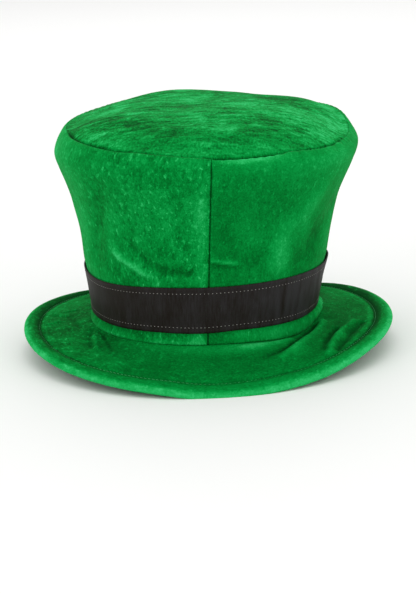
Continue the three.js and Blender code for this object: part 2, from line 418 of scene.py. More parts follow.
    def place(self, turn: float, radius: float, height: float, shift: float) -> Vector:
        """Puts a point on the oval of the hat.

        Args:
            turn: Its turn, in radians.
            radius: Its radius at the hat's sides.
            height: Its height over the brim's seam.
            shift: How far its oval stands towards the wearer's left.

        Returns:
            The point, in metres.
        """
        across = shift + radius * math.cos(turn)
        along = (radius + self.length_extra) * math.sin(turn)
        return Vector((across, along, self.brim_seam_height + height)) * MM

    def place_on_crown(self, turn: float, radius: float, height: float) -> Vector:
        """Puts a point on the crown, which stands off the brim's middle and leans."""
        shift = self.crown_shift - self.crown_lean * height / self.crown_height
        return self.place(turn, radius, height, shift)


class Face(Enum):
    """The faces of a cloth: the one that shows, its cut edge, and the back."""

    OUTER = 0
    EDGE = 1
    BACK = 2


class Station(NamedTuple):
    """One point of a section, before the section is turned round the hat and bent."""

    radius: float
    height: float
    face: Face = Face.OUTER
    along: float = 0.0  # its place along the cloth, for patterns


class Bent(NamedTuple):
    """A station after it is bent: its point, how the pile lies there, and the painted light and shade on
    it.
    """

    point: Vector
    nap_and_painted_shading: float = 0.0  # above 0 the pile is drawn lighter and below 0 darker, partly by its lie, partly as painted highlight and shade
    crush: float = 1.0  # how strongly the pile is crushed there
    crease: float = 0.0  # painted shade: 1 in the depth of a seam


Bend = Callable[[float, Station], Bent]
# The pile's layers: its lie with painted highlight and painted shade, how crushed it is, and painted shade
# in seams
PILE_LAYERS = ("nap_and_painted_shading", "crush", "crease")
CLOTH_MAP = "cloth"
WAVE_SCALE = 0.314  # the scale that gives a wave texture one band to each unit


@dataclass
class Cloth:
    """A grid of cloth that is wrapped round the hat along a section and bent into a closed piece."""

    form: HatForm
    section: list[Station]
    bend: Bend
    closed: bool = True
    columns: int = 400
    seam_columns: float = 0.28  # how close the columns stand at the back seam, as a share of the rest
    seam_reach: float = 0.25  # how far from the back seam they draw in, in radians

    def woven(self) -> bmesh.types.BMesh:
        """Wraps the grid, and marks the pile, the map and the back of the cloth.

        Returns:
            The mesh, with its pile layers and its map, in metres round the hat and along the cloth.
        """
        lines = list(self.section)
        if self.closed:
            lines.append(lines[0]._replace(along=lines[-1].along))
        rows = len(lines) - 1
        bm = bmesh.new()
        layers = [bm.verts.layers.float.new(name) for name in PILE_LAYERS]
        cloth_map = bm.loops.layers.uv.new(CLOTH_MAP)
        bmesh.ops.create_grid(bm, x_segments=self.columns, y_segments=rows, size=0.5)
        for face in bm.faces:
            face.smooth = True
            row = int((face.calc_center_median().y + 0.5) * rows)
            back = all(station.face is Face.BACK for station in lines[row : row + 2])
            face.material_index = int(back)
        for vert in bm.verts:
            away = self.gathered(round(vert.co.x * self.columns) / self.columns * FULL_TURN)
            station = lines[round((vert.co.y + 0.5) * rows)]
            place = Vector((away * self.form.widest_radius, station.along)) * MM
            for loop in vert.link_loops:
                loop[cloth_map].uv = place
            bent = self.bend(math.radians(self.form.seam_turn) + away, station)
            vert.co = bent.point
            for layer, value in zip(layers, (bent.nap_and_painted_shading, bent.crush, bent.crease)):
                vert[layer] = value
        bmesh.ops.remove_doubles(bm, verts=bm.verts, dist=1e-6)
        bmesh.ops.recalc_face_normals(bm, faces=bm.faces)
        return bm

    def gathered(self, away: float) -> float:
        """Returns a column's turn from the back seam, with the columns drawn in towards the seam."""
        share = smoothstep(abs(away), 0, self.seam_reach)
        return away * (self.seam_columns + (1 - self.seam_columns) * share)


def placed(name: str, data: bpy.types.ID) -> bpy.types.Object:
    """Returns a new object with this data, linked to the scene."""
    made = bpy.data.objects.new(name, data)
    bpy.context.scene.collection.objects.link(made)
    return made


def to_mesh(bm: bmesh.types.BMesh, name: str, materials: Sequence[bpy.types.Material]) -> bpy.types.Mesh:
    """Turns an edit mesh to a mesh.

    Args:
        bm: The edit mesh, which is freed.
        name: The mesh's name.
        materials: Its materials, in the order of its faces' numbers.

    Returns:
        The mesh.
    """
    mesh = bpy.data.meshes.new(name)
    bm.to_mesh(mesh)
    bm.free()
    for material in materials:
        mesh.materials.append(material)
    return mesh


def finished(
    bm: bmesh.types.BMesh, name: str, materials: Sequence[bpy.types.Material]
) -> bpy.types.Object:
    """Makes a piece of an edit mesh and lets it ride on the hat.

    Args:
        bm: The edit mesh, which is freed.
        name: The piece's name.
        materials: Its materials, in the order of its faces' numbers.

    Returns:
        The piece.
    """
    piece = placed(name, to_mesh(bm, name, materials))
    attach(piece, BODY)
    LOG.info("%s: %d faces", name, len(piece.data.polygons))
    return piece


def set_stops(ramp: bpy.types.ColorRamp, stops: dict[float, str]) -> None:
    """Sets a ramp's colours.

    Args:
        ramp: The ramp.
        stops: The hex colour at each place, from 0 to 1.
    """
    for place in list(stops)[1:-1]:
        ramp.elements.new(place)
    for element, hex_colour in zip(ramp.elements, stops.values()):
        element.color = linear(hex_colour)


def add_node(
    tree: bpy.types.NodeTree, kind: str, inputs: dict[str | int, object], **settings: object
) -> bpy.types.NodeSocket | None:
    """Adds a node with its settings and links.

    Args:
        tree: The material's node tree.
        kind: The node's type.
        inputs: Values, or the sockets to link from, by the name or the number of the input.
        **settings: The node's own settings, with a ramp's colours as its stops.

    Returns:
        The node's first output, if it has one.
    """
    made = tree.nodes.new(kind)
    if "stops" in settings:
        set_stops(made.color_ramp, settings.pop("stops"))
    for key, value in settings.items():
        setattr(made, key, value)
    for key, value in inputs.items():
        if isinstance(value, bpy.types.NodeSocket):
            tree.links.new(value, made.inputs[key])
        else:
            made.inputs[key].default_value = value
    return next(iter(made.outputs), None)


def add_mottle(
    tree: bpy.types.NodeTree, cloth: bpy.types.NodeSocket, sizes: tuple[float, float], **inputs: float
) -> bpy.types.NodeSocket:
    """Adds an uneven pattern on a cloth.

    Args:
        tree: The material's node tree.
        cloth: The cloth's map, in metres.
        sizes: The usual size of a mark round the hat and along the cloth.
        **inputs: The pattern's own inputs.

    Returns:
        The pattern, from 0 to 1.
    """
    scale = (1 / (sizes[0] * MM), 1 / (sizes[1] * MM), 1)
    place = add_node(tree, "ShaderNodeMapping", {"Vector": cloth, "Scale": scale})
    return add_node(tree, "ShaderNodeTexNoise", {"Vector": place, "Scale": 1.0, **inputs})


@dataclass(frozen=True)
class Finish:
    """A finish, named for what the real one is. Its own class gives the inputs of its shader."""

    name: str

    def surface(self, tree: bpy.types.NodeTree) -> dict[str | int, object]:
        """Adds the finish's own nodes to a tree, and returns the inputs of the shader."""
        raise NotImplementedError

    def material(self) -> bpy.types.Material:
        """Makes the material.

        Returns:
            The material, with the finish's own nodes, the shader and the output.
        """
        made = bpy.data.materials.new(self.name)
        made.use_nodes = True
        tree = made.node_tree
        tree.nodes.clear()
        shader = add_node(tree, "ShaderNodeBsdfPrincipled", self.surface(tree))
        add_node(tree, "ShaderNodeOutputMaterial", {"Surface": shader})
        return made


@dataclass(frozen=True)
class Matt(Finish):
    """Matt paint of one pale colour, for the floor."""

    hex_colour: str = "#f6f6f5"

    def surface(self, tree: bpy.types.NodeTree) -> dict[str | int, object]:
        """Returns the inputs of the shader."""
        return {"Base Color": linear(self.hex_colour), "Roughness": 0.9}


class Lie(Enum):
    """The way in which crush marks run: round the hat, or along the cloth."""

    ROUND = 0
    ALONG = 1


class Marks(NamedTuple):
    """Uneven marks of one size in the pile."""

    width: float
    length: float
    strength: float
    flecked: bool = False  # clusters of light flecks in place of rounded marks


@dataclass(frozen=True)
class CrushedVelvet(Finish):
    """Crushed velvet: a short knitted polyester pile, pressed damp so that it lies in patches.

    The pile swallows light where it is looked into, and glows along its tips where it is seen from the
    side.
    Some patches of pile lie another way and are lighter and yellower, others darker. Painted highlights and
    painted shade on folds, edges and the rim come the same way, and painted shade makes a seam's depth
    nearly black.
    """

    lie: Lie
    marks: tuple[Marks, ...] = (
        Marks(22, 30, 0.5),
        Marks(6, 9, 0.55),
        Marks(2, 3.6, 0.5),
        Marks(3.4, 5, 2.4, flecked=True),
    )
    tufts: Marks = Marks(1.2, 1.6, 0.6)  # drawn about twice as coarse as they are, so that they show
    tone: float = 0.0  # lightens or darkens the whole cut
    relief: float = 0.4
    sheen: float = 0.11
    fleck_start: float = 0.05  # how far a pattern has to rise before a fleck shows
    deep: str = "#003a12"
    shaded: str = "#006c26"
    pile: str = "#028836"
    light: str = "#0c9f48"
    glint: str = "#38c270"
    tips: str = "#7df09c"

    def surface(self, tree: bpy.types.NodeTree) -> dict[str | int, object]:
        """Adds the velvet's nodes, which read the piece's map and its pile layers.

        Args:
            tree: The material's node tree.

        Returns:
            The inputs of the shader.
        """
        cloth = add_node(tree, "ShaderNodeUVMap", {}, uv_map=CLOTH_MAP)
        nap_and_painted_shading, crush, crease = (
            add_node(tree, "ShaderNodeAttribute", {}, attribute_name=name).node.outputs["Fac"]
            for name in PILE_LAYERS
        )
        crushed: float | bpy.types.NodeSocket = 0.0
        for marks in self.marks:
            crushed = self.add_marks(tree, cloth, marks, crushed)
        tufted = self.add_marks(tree, cloth, self.tufts, 0.5 + self.tone)
        level = add_node(tree, "ShaderNodeMath", {0: nap_and_painted_shading, 1: tufted}, operation="ADD")
        lies = {0: crushed, 1: crush, 2: level}
        lie = add_node(tree, "ShaderNodeMath", lies, operation="MULTIPLY_ADD")
        # The crease layer takes off painted shade in seams and in the rim's row of stitches
        shaded = add_node(tree, "ShaderNodeMath", {0: lie, 1: crease}, operation="SUBTRACT")
        # Below the pile colour the ramp also carries painted shade, and above it painted highlight, beside
        # the marks
        stops = {0.0: self.deep, 0.3: self.shaded, 0.5: self.pile, 0.72: self.light, 1.0: self.glint}
        colour = add_node(tree, "ShaderNodeValToRGB", {"Fac": shaded}, stops=stops)
        colour.node.color_ramp.interpolation = "B_SPLINE"
        height = add_node(tree, "ShaderNodeMath", {0: crushed, 1: tufted}, operation="ADD")
        bump = {"Strength": 0.55, "Distance": self.relief * MM, "Height": height}
        return {
            "Base Color": colour,
            "Roughness": 0.9,
            "Specular IOR Level": 0.02,
            "Sheen Weight": self.sheen,
            "Sheen Roughness": 0.35,
            "Sheen Tint": linear(self.tips),
            "Normal": add_node(tree, "ShaderNodeBump", bump),
        }

    def add_marks(
        self,
        tree: bpy.types.NodeTree,
        cloth: bpy.types.NodeSocket,
        marks: Marks,
        level: float | bpy.types.NodeSocket,
    ) -> bpy.types.NodeSocket:
        """Adds marks that run the way the pile was crushed.

        Args:
            tree: The material's node tree.
            cloth: The cloth's map, in metres.
            marks: The marks.
            level: What the marks are added to.

        Returns:
            The level with the marks, which are as often above it as below.
        """
        sizes = (marks.width, marks.length) if self.lie is Lie.ALONG else (marks.length, marks.width)
        spread = add_mottle(tree, cloth, sizes, Detail=4.0, Roughness=0.6, Distortion=0.5)
        centred = add_node(tree, "ShaderNodeMath", {0: spread, 1: 0.5}, operation="SUBTRACT")
        if marks.flecked:
            lowered = {0: centred, 1: self.fleck_start}
            peaks = add_node(tree, "ShaderNodeMath", lowered, operation="SUBTRACT")
            centred = add_node(tree, "ShaderNodeMath", {0: peaks, 1: 0.0}, operation="MAXIMUM")
        total = {0: centred, 1: marks.strength, 2: level}
        return add_node(tree, "ShaderNodeMath", total, operation="MULTIPLY_ADD")


@dataclass(frozen=True)
class TricotBacking(Finish):
    """The knitted back of the velvet's foam: flat and matt, with fine ribs that catch no light."""

    name: str = "tricot_backing"
    dark: str = "#0a4a24"
    light: str = "#156a37"
    rib: float = 1.6  # drawn at twice its real pitch, so that it shows

    def surface(self, tree: bpy.types.NodeTree) -> dict[str | int, object]:
        """Adds the ribs, which read the piece's map, and returns the inputs of the shader."""
        cloth = add_node(tree, "ShaderNodeUVMap", {}, uv_map=CLOTH_MAP)
        wave = {"Vector": cloth, "Scale": WAVE_SCALE / (self.rib * MM), "Distortion": 0.5}
        ribs = add_node(tree, "ShaderNodeTexWave", wave)
        stops = {0.0: self.dark, 1.0: self.light}
        bump = {"Strength": 0.4, "Distance": 0.2 * MM, "Height": ribs}
        return {
            "Base Color": add_node(tree, "ShaderNodeValToRGB", {"Fac": ribs}, stops=stops),
            "Roughness": 0.85,
            "Specular IOR Level": 0.3,
            "Normal": add_node(tree, "ShaderNodeBump", bump),
        }


@dataclass(frozen=True)
class RibbonSatin(Finish):
    """Woven polyester satin: close threads across the ribbon that give a soft, broad gleam."""

    name: str = "black_satin"
    dark: str = "#140c07"
    light: str = "#292729"
    thread: float = 1.5  # drawn about five times as coarse as it is, so that it shows
    cloud: float = 14
    weave: float = 0.8  # how much the threads count beside the clouds
    contrast: float = 1.6
    darkness: float = 0.96

    def surface(self, tree: bpy.types.NodeTree) -> dict[str | int, object]:
        """Adds the weave, which reads the piece's map and the painted gleam laid along its threads.

        Args:
            tree: The material's node tree.

        Returns:
            The inputs of the shader.
        """
        cloth = add_node(tree, "ShaderNodeUVMap", {}, uv_map=CLOTH_MAP)
        clouds = add_mottle(tree, cloth, (self.cloud, 3 * self.cloud), Detail=3.0)
        threads = add_mottle(tree, cloth, (self.thread, 6 * self.thread), Detail=2.0)
        nap_and_painted_shading = add_node(tree, "ShaderNodeAttribute", {}, attribute_name="nap_and_painted_shading").node.outputs["Fac"]
        both = {0: threads, 1: self.weave, 2: clouds}
        level = add_node(tree, "ShaderNodeMath", both, operation="MULTIPLY_ADD")
        spread = {0: level, 1: self.contrast, 2: -self.darkness}
        level = add_node(tree, "ShaderNodeMath", spread, operation="MULTIPLY_ADD")
        level = add_node(tree, "ShaderNodeMath", {0: level, 1: nap_and_painted_shading}, operation="ADD")
        stops = {0.0: self.dark, 1.0: self.light}
        bump = {"Strength": 0.3, "Distance": 0.15 * MM, "Height": threads}
        return {
            "Base Color": add_node(tree, "ShaderNodeValToRGB", {"Fac": level}, stops=stops),
            "Roughness": 0.55,
            "Specular IOR Level": 0.16,
            "Normal": add_node(tree, "ShaderNodeBump", bump),
        }


@dataclass(frozen=True)
class SewingThread(Finish):
    """Spun polyester thread: slightly fuzzy, with a dull gleam along its twist."""

    hex_colour: str
    fuzz: float = 0.3

    def surface(self, tree: bpy.types.NodeTree) -> dict[str | int, object]:
        """Adds the fuzz, which reads Object coordinates, and returns the inputs of the shader."""
        place = add_node(tree, "ShaderNodeTexCoord", {}).node.outputs["Object"]
        fuzz = add_node(tree, "ShaderNodeTexNoise", {"Vector": place, "Scale": 1 / (self.fuzz * MM)})
        bump = {"Strength": 0.3, "Distance": 0.05 * MM, "Height": fuzz}
        return {
            "Base Color": linear(self.hex_colour),
            "Roughness": 0.6,
            "Specular IOR Level": 0.4,
            "Normal": add_node(tree, "ShaderNodeBump", bump),
        }


def uneven(turn: float, height: float, size: float) -> float:
    """Measures how a soft wall wavers.

    Args:
        turn: A place's turn, in radians.
        height: Its height.
        size: The usual width of a swell.

    Returns:
        A number from about -1 to 1.
    """
    radius = 100 / size
    return noise.noise(Vector((radius * math.cos(turn), radius * math.sin(turn), height / size)))


@dataclass(frozen=True)
class Stitches:
    """A row of machine stitches: flattened beads of thread, half sunk in the cloth."""

    pitch: float
    length: float
    width: float
    flat: float = 0.5  # how far they stand off the cloth, as a share of their width

    def sew(self, bm: bmesh.types.BMesh, row: Callable[[float], Vector], round_hat: float) -> None:
        """Sews a row round the hat.

        Args:
            bm: The mesh that takes the stitches.
            row: Gives the row's point at a turn, in radians.
            round_hat: The length of the row.
        """
        bead = bmesh.new()
        half = MM / 2
        size = Matrix.Diagonal((self.length * half, self.flat * self.width * half, self.width * half, 1))
        bmesh.ops.create_uvsphere(bead, u_segments=8, v_segments=6, radius=1, matrix=size)
        bead.verts.index_update()
        count = round(round_hat / self.pitch)
        for i in range(count):
            turn = FULL_TURN * i / count
            at = row(turn)
            way = (row(turn + 0.01) - at).normalized()
            side = Vector((at.x, at.y, 0))
            out = (side - way * side.dot(way)).normalized()
            turned = Matrix((way, out, way.cross(out))).transposed()
            verts = [bm.verts.new(at + turned @ vert.co) for vert in bead.verts]
            for face in bead.faces:
                bm.faces.new([verts[vert.index] for vert in face.verts]).smooth = True
        bead.free()


@dataclass
class Puckers:
    """The small gathers that a tight seam draws in the cloth on both of its sides."""

    pitch: float = 7.5
    lift: float = 0.55
    reach: float = 6.5
    radius: float = 114
    amount: RoundLine = round_curve(
        {0: 0.5, 40: 0.15, 75: 0.25, 95: 0.5, 120: 1, 150: 1.3, 175: 0.7, 220: 0.5, 300: 0.6}
    )

    def at(self, turn: float, away: float) -> float:
        """Measures the gathers at one place.

        Args:
            turn: Its turn, in radians.
            away: Its distance from the seam.

        Returns:
            How far they lift the cloth there.
        """
        waves = self.radius / self.pitch
        drift = 2.2 * noise.noise(Vector((4 * math.cos(turn), 4 * math.sin(turn), 0)))
        wave = math.sin(FULL_TURN * (turn * waves + drift))
        strength = 0.6 + 0.8 * noise.noise(Vector((9 * math.cos(turn), 9 * math.sin(turn), 5)))
        return self.lift * self.amount(turn) * strength * wave * hump(away, self.reach)


@dataclass
class Crown:
    """The crown: one strip of velvet joined at the back, and a puffed round top."""

    form: HatForm
    pitch: float = 1.9
    back_pitch: float = 7.0
    hem: float = 1.2
    seam_width: float = 0.45
    seam_depth: float = 1.5
    seam_draw: float = 0.9
    seam_draw_width: float = 8.0
    seam_shade: float = 0.48
    top_crease: float = 1.4
    top_crease_width: float = 1.4
    pile_over: float = 2.2  # how far the pile closes over the top's seam where that doesn't show
    waver: float = 0.7
    waver_size: float = 34
    wrinkle: float = 0.5
    wrinkle_length: float = 42
    wrinkle_width: float = 5
    strip_crumple: float = 0.5
    strip_crumple_size: float = 5
    seam_shade_width: float = 0.5
    top_shade_width: float = 0.8
    pile_reach: float = 4.5
    free_reach: float = 12  # how far over the ribbon the cloth comes free of it
    shoulder_way: float = 0.8  # the way round the shoulder, as a share of its rise and its inset
    waver_gleam: float = 0.06  # painted light: how much a millimetre of each lightens the pile, and darkens it where it dips
    bulge_gleam: float = 0.05
    pucker_gleam: float = 0.12
    under_shade: float = 0.17  # painted shade: how much darker the pile is drawn under the ribbon
    under_fade: float = 2
    puckers: Puckers = field(default_factory=Puckers)

    # How plainly the brim's seam shows round the hat, and the top's: elsewhere the pile closes over them
    brim_seam_shows: RoundLine = round_curve(
        {0: 0.3, 30: 0.15, 65: 0.2, 80: 0.7, 92: 1, 150: 0.8, 170: 0.4, 270: 0.5}
    )
    seam_shows: RoundLine = round_curve(
        {
            0: 0, 10: 0.1, 18: 0.9, 30: 1, 52: 0.9, 62: 0.35, 88: 0.4, 94: 0.85, 115: 0.8, 125: 0.35,
            137: 0.7, 150: 0.6, 162: 0.1, 200: 0.1, 270: 0.4, 340: 0.1,
        }
    )

    # Folds of the side: turns in degrees, and shares of the height of its widest place
    folds: tuple[Fold, ...] = (
        Fold(((45, 0.515), (55, 0.45), (63, 0.4)), 2.2, 2.2, 0.2),
        Fold(((55, 0.555), (64, 0.475), (74, 0.425), (83, 0.42)), 3.6, -2.0, 0.1),
        Fold(((165, 0.69), (148, 0.542), (138, 0.421)), 12, -1.8, 0.05),
        Fold(((143, 0.81), (126, 0.596), (121, 0.434)), 9, 1.3),
        Fold(((92.5, 0.492), (103, 0.465)), 1.6, 1.3, 0.25),
        Fold(((92.5, 0.468), (103, 0.44)), 2.0, -1.0, 0.15),
        Fold(((0, 0.92), (2, 0.7)), 18, 1.8),
        Fold(((44, 0.88), (38, 0.7), (31, 0.48)), 9, -1.6),
        Fold(((212, 0.78), (224, 0.64), (236, 0.5)), 15, -2.2),
        Fold(((318, 0.74), (307, 0.6), (296, 0.46)), 13, -2.0),
    )

    # Patches of the side's pile, some lying another way and some painted highlight and painted shade by
    # folds
    # and seams: turn, share of the height, width, height, shade
    side_patches: tuple[Patch, ...] = patch_rows(
        (87.5, 0.68, 5, 32, 0.1), (87.8, 0.5, 4, 80, 0.1), (74, 0.012, 26, 2.2, 0.28),
        (32, 0.012, 36, 2.6, 0.24), (86, 0.035, 7, 6, 0.2), (84, 0.5, 8, 16, 0.03),
        (56, 0.45, 7, 4, 0.14), (70, 0.535, 11, 5, -0.12), (74, 0.42, 12, 4, -0.08),
        (86, 0.76, 6, 12, 0.14), (62, 0.84, 20, 14, 0.06), (97, 0.478, 6, 2, 0.12),
        (20, 0.6, 20, 60, 0.1), (124, 0.48, 9, 22, 0.2), (136, 0.68, 8, 20, 0.1),
        (149, 0.48, 14, 34, -0.13), (136, 0.36, 9, 12, -0.12), (112, 0.48, 22, 7, -0.1),
        (110, 0.64, 28, 18, 0.03), (106, 1.096, 28, 3.4, 0.45), (108, 1.04, 40, 8, 0.1),
        (178, 0.03, 14, 6, 0.2), (118, 0.035, 40, 7, 0.27), (127, 0.03, 14, 5, 0.1),
        (120, 0.82, 30, 9, -0.04), (142, 1.0, 34, 12, 0.15), (8, 1.04, 30, 13, 0.14),
        (96, 0.6, 12, 22, -0.1), (50, 0.38, 18, 12, -0.11), (80, 0.58, 14, 16, -0.05),
        (66, 0.98, 40, 9, -0.08),
    )

    # Patches of the top's pile, with shares of its radius: some lying another way, some painted highlight
    # near its far edge
    top_patches: tuple[Patch, ...] = patch_rows(
        (68, 0.84, 40, 16, -0.12), (40, 0.95, 24, 7, 0.08), (15, 0.8, 22, 22, -0.1),
        (300, 0.72, 38, 30, 0.1), (322, 0.9, 24, 16, -0.12), (240, 0.94, 60, 12, 0.2),
        (205, 0.92, 26, 14, 0.12), (168, 0.84, 30, 28, 0.06), (130, 0.78, 16, 16, 0.08),
        (98, 0.86, 44, 14, 0.06), (110, 0.82, 26, 12, -0.18), (60, 0.3, 34, 24, 0.05),
    )

    # How far the top's edge stands over its even line, in millimetres, and how much calmer the top's pile
    # is beside the back of its seam
    edge_rise: RoundLine = round_curve(
        {
            5: -1.6, 18: 0, 120: 0, 165: -0.6, 185: -1.6, 205: -2.0, 228: -2.0, 248: -0.3, 262: 0,
            300: 0.6, 312: -0.8, 322: -2.2, 346: -2.5,
        }
    )
    top_calm: float = 0.55

    # How strongly each panel is crushed, round the hat: the panel at the wearer's left of the back seam is
    # crushed well, and the one at the right is smooth
    side_crush: RoundLine = round_curve(
        {0: 0.7, 30: 0.85, 60: 1.1, 89.5: 1, 92.5: 0.65, 130: 0.6, 170: 0.6, 260: 0.9, 330: 0.8}
    )
    strip_bulge: RoundLine = round_curve(
        {0: 0.6, 60: 0.4, 120: 0.4, 150: 1, 163: 2.6, 175: 4, 188: 4.2, 204: 1.8, 240: 0.6}
    )
    # How much lighter or darker the side's pile is, round the hat: partly each panel's own tone, partly
    # painted sheen that lightens the crown's two edges
    side_level: RoundLine = round_curve(
        {
            0: 0.03, 15: 0.02, 30: -0.02, 60: -0.045, 90: -0.07, 92: -0.12, 125: -0.08, 150: 0.0,
            180: 0.04, 260: 0.0,
        }
    )

    def side_section(self) -> list[Station]:
        """Works out the side's section, from its hem up and down again on its back.

        Returns:
            The stations, in a closed line.
        """
        form = self.form
        base = form.base_radius
        outline = [
            Vector((base - self.hem, 0.15)),
            Vector((base - 0.3 * self.hem, 0.3 * self.hem)),
            Vector((base, self.hem)),
        ]
        for height in steps(2 * self.hem, form.widest_height, self.pitch):
            outline.append(Vector((form.crown_radius(height), height)))
        for angle in steps(0, math.pi / 2, self.pitch / form.shoulder_rise)[1:]:
            radius = form.seam_radius + form.shoulder_inset * math.cos(angle)
            height = form.widest_height + form.shoulder_rise * math.sin(angle)
            outline.append(Vector((radius, height)))
        along = 0.0
        stations = []
        for before, point in zip([outline[0], *outline], outline):
            along += (point - before).length
            stations.append(Station(point.x, point.y, Face.OUTER, along))
        backs = [Station(form.seam_radius + 0.1, form.crown_height - form.cloth, Face.BACK, along)]
        for height in steps(form.crown_height - form.shoulder_rise * 0.6, 0.15, self.back_pitch):
            radius = form.crown_radius(min(height, form.widest_height)) - form.cloth
            over = smoothstep(height, form.widest_height - form.cloth, form.crown_height)
            radius -= 0.5 * form.shoulder_inset * over
            backs.append(Station(radius, height, Face.BACK, height))
        return stations + backs

    def bend_side(self, turn: float, station: Station) -> Bent:
        """Bends a station of the side.

        Args:
            turn: The turn that it comes to, in radians.
            station: The station.

        Returns:
            Its point and its pile.
        """
        form = self.form
        radius, height = station.radius, station.height
        rise = height / form.widest_height
        over_shoulder = smoothstep(height, form.widest_height, form.crown_height)
        free = smoothstep(height, form.band_top, form.band_top + self.free_reach) * (1 - over_shoulder)
        under = math.sin(math.pi * clamp(height / form.band_rise))
        crumple = self.strip_crumple * uneven(turn, height, self.strip_crumple_size)
        bulge = under * self.strip_bulge(turn) * (1 + crumple)
        place = Place(turn, rise, radius, form.widest_height)
        lift, painted_fold_shading = folded(self.folds, place)
        waver = self.waver * uneven(turn, height, self.waver_size)
        lift = free * (lift + waver) + bulge
        seam = form.from_seam(turn) * radius
        seam_fade = 1 - smoothstep(height, form.crown_height - 1, form.crown_height)
        away = self.shoulder_way * (form.crown_height - height + radius - form.seam_radius)
        outer = station.face is Face.OUTER
        crease = 0.0
        if outer:
            lift -= self.seam_depth * hump(seam, self.seam_width) * seam_fade
            lift -= self.seam_draw * hump(seam, self.seam_draw_width) * free
            # Painted shade in the back seam's depth and along the top's seam
            shown = self.seam_shows(turn) * hump(away, self.top_shade_width)
            crease = self.seam_shade * max(hump(seam, self.seam_shade_width) * seam_fade, shown)
            flush = (1 - self.brim_seam_shows(turn)) * (1 - clamp(height / self.hem))
            radius += (form.base_radius - radius) * flush
        sag = form.seat_sag * form.seat_line(turn) * (1 - clamp(height / form.band_rise))
        height -= sag + form.ribbon_dip(turn, height)
        height += (form.top_lift(turn) + self.edge_rise(turn)) * over_shoulder
        if outer:
            height += self.seam_rise(turn, away)
        point = form.place_on_crown(turn, radius + lift, height)
        # Painted light and shade from the folds, the wavers, the strip's bulge and the gathers, and in the
        # patches
        patches = brushed_and_painted_shading(self.side_patches, place._replace(radius=radius))
        ridge = free * (painted_fold_shading + self.waver_gleam * waver) + self.bulge_gleam * bulge
        gathers = self.pucker_gleam * self.puckers.at(turn, away)
        # Painted shade darkens the pile under the ribbon
        below, above = form.band_rise - self.under_fade, form.band_rise + self.under_fade
        nap_and_painted_shading = self.side_level(turn) + patches + ridge + gathers
        nap_and_painted_shading -= self.under_shade * (1 - smoothstep(height, below, above))
        return Bent(point, nap_and_painted_shading, self.side_crush(turn), crease)

    def top_section(self) -> list[Station]:
        """Works out the top's section, from its middle out, down its edge and back.

        Returns:
            The stations, in an open line.
        """
        form = self.form
        edge = form.seam_radius - form.gap / 2
        drop = form.crown_height - form.top_lip
        stations = [Station(0, form.crown_height + form.top_dome)]
        for radius in steps(0, edge, self.pitch)[1:]:
            share = radius / edge
            stations.append(Station(radius, self.dome(share), Face.OUTER, radius))
        stations.append(Station(edge, drop, Face.EDGE, edge + form.top_lip))
        stations.append(Station(edge - form.cloth, drop, Face.BACK, edge + form.top_lip))
        for radius in steps(edge - form.cloth, 0, self.back_pitch):
            share = radius / (edge - form.cloth)
            stations.append(Station(radius, self.dome(share) - form.cloth, Face.BACK, radius))
        return stations

    def seam_rise(self, turn: float, away: float) -> float:
        """Works out the gathers, the crease and the pile at the top's seam.

        Args:
            turn: A place's turn, in radians.
            away: Its distance from the seam.

        Returns:
            How far they raise the cloth there, all together.
        """
        shows = self.seam_shows(turn)
        crease = self.top_crease * shows * hump(away, self.top_crease_width)
        over = self.pile_over * (1 - shows) * hump(away, self.pile_reach)
        return self.puckers.at(turn, away) - crease + over

    def dome(self, share: float) -> float:
        """Returns the height of the top at a share of its radius."""
        return self.form.crown_height + self.form.top_dome * (1 - share**self.form.top_fullness)

    def bend_top(self, turn: float, station: Station) -> Bent:
        """Bends a station of the top.

        Args:
            turn: The turn that it comes to, in radians.
            station: The station.

        Returns:
            Its point and its pile.
        """
        form = self.form
        radius = station.radius
        share = radius / form.seam_radius
        height = station.height + form.top_lift(turn) * share**2
        height += self.edge_rise(turn) * smoothstep(share, 0.3, 0.75)
        across, along = radius * math.cos(turn), radius * math.sin(turn)
        away = form.seam_radius - radius + max(0.0, station.height - form.crown_height) * 0.5
        crease = 0.0
        streak = 0.0
        if station.face is Face.OUTER:
            places = (across / self.wrinkle_length, along / self.wrinkle_width, 2)
            streak = noise.noise(Vector(places)) * (1 - hump(away, 12))
            swell = noise.noise(Vector((across / 55, along / 40, 7))) * (1 - hump(away, 25))
            height += self.wrinkle * streak + 2 * self.waver * swell
            height += self.seam_rise(turn, away)
            # Painted shade along the top's seam
            crease = self.seam_shade * self.seam_shows(turn) * hump(away, self.top_shade_width)
        point = form.place_on_crown(turn, radius, height)
        point.y -= (1 - share) * form.length_extra * math.sin(turn) * MM
        # Painted light and shade on the top's wrinkles and gathers, and in its patches
        nap_and_painted_shading = self.pucker_gleam * (streak + self.puckers.at(turn, away))
        nap_and_painted_shading += brushed_and_painted_shading(self.top_patches, Place(turn, share, radius, form.seam_radius))
        calm = self.top_calm * smoothstep(along / form.seam_radius, 0.5, 0.95)
        return Bent(point, nap_and_painted_shading, 1 - calm, crease)

    def build(self) -> None:
        """Builds and dresses the crown's two pieces."""
        backing = TricotBacking().material()
        side = CrushedVelvet("crushed_velvet_side", Lie.ALONG).material()
        woven = Cloth(self.form, self.side_section(), self.bend_side).woven()
        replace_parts(finished(woven, "velvet_side", (side, backing)), "crown_side")
        top = CrushedVelvet(
            "crushed_velvet_top",
            Lie.ROUND,
            (
                Marks(40, 46, 1.7),
                Marks(6, 16, 1.2),
                Marks(2.4, 4, 1.0),
                Marks(5, 12, 2.2, flecked=True),
            ),
            tufts=Marks(2.4, 1.5, 1.1),
        ).material()
        woven = Cloth(self.form, self.top_section(), self.bend_top, closed=False).woven()
        self.lay_flat_map(woven)
        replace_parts(finished(woven, "velvet_top", (top, backing)), "crown_top")

    def lay_flat_map(self, bm: bmesh.types.BMesh) -> None:
        """Lays the top's map flat, as its cloth was cut, from the places of its points."""
        cloth_map = bm.loops.layers.uv[CLOTH_MAP]
        for face in bm.faces:
            for loop in face.loops:
                loop[cloth_map].uv = loop.vert.co.xy


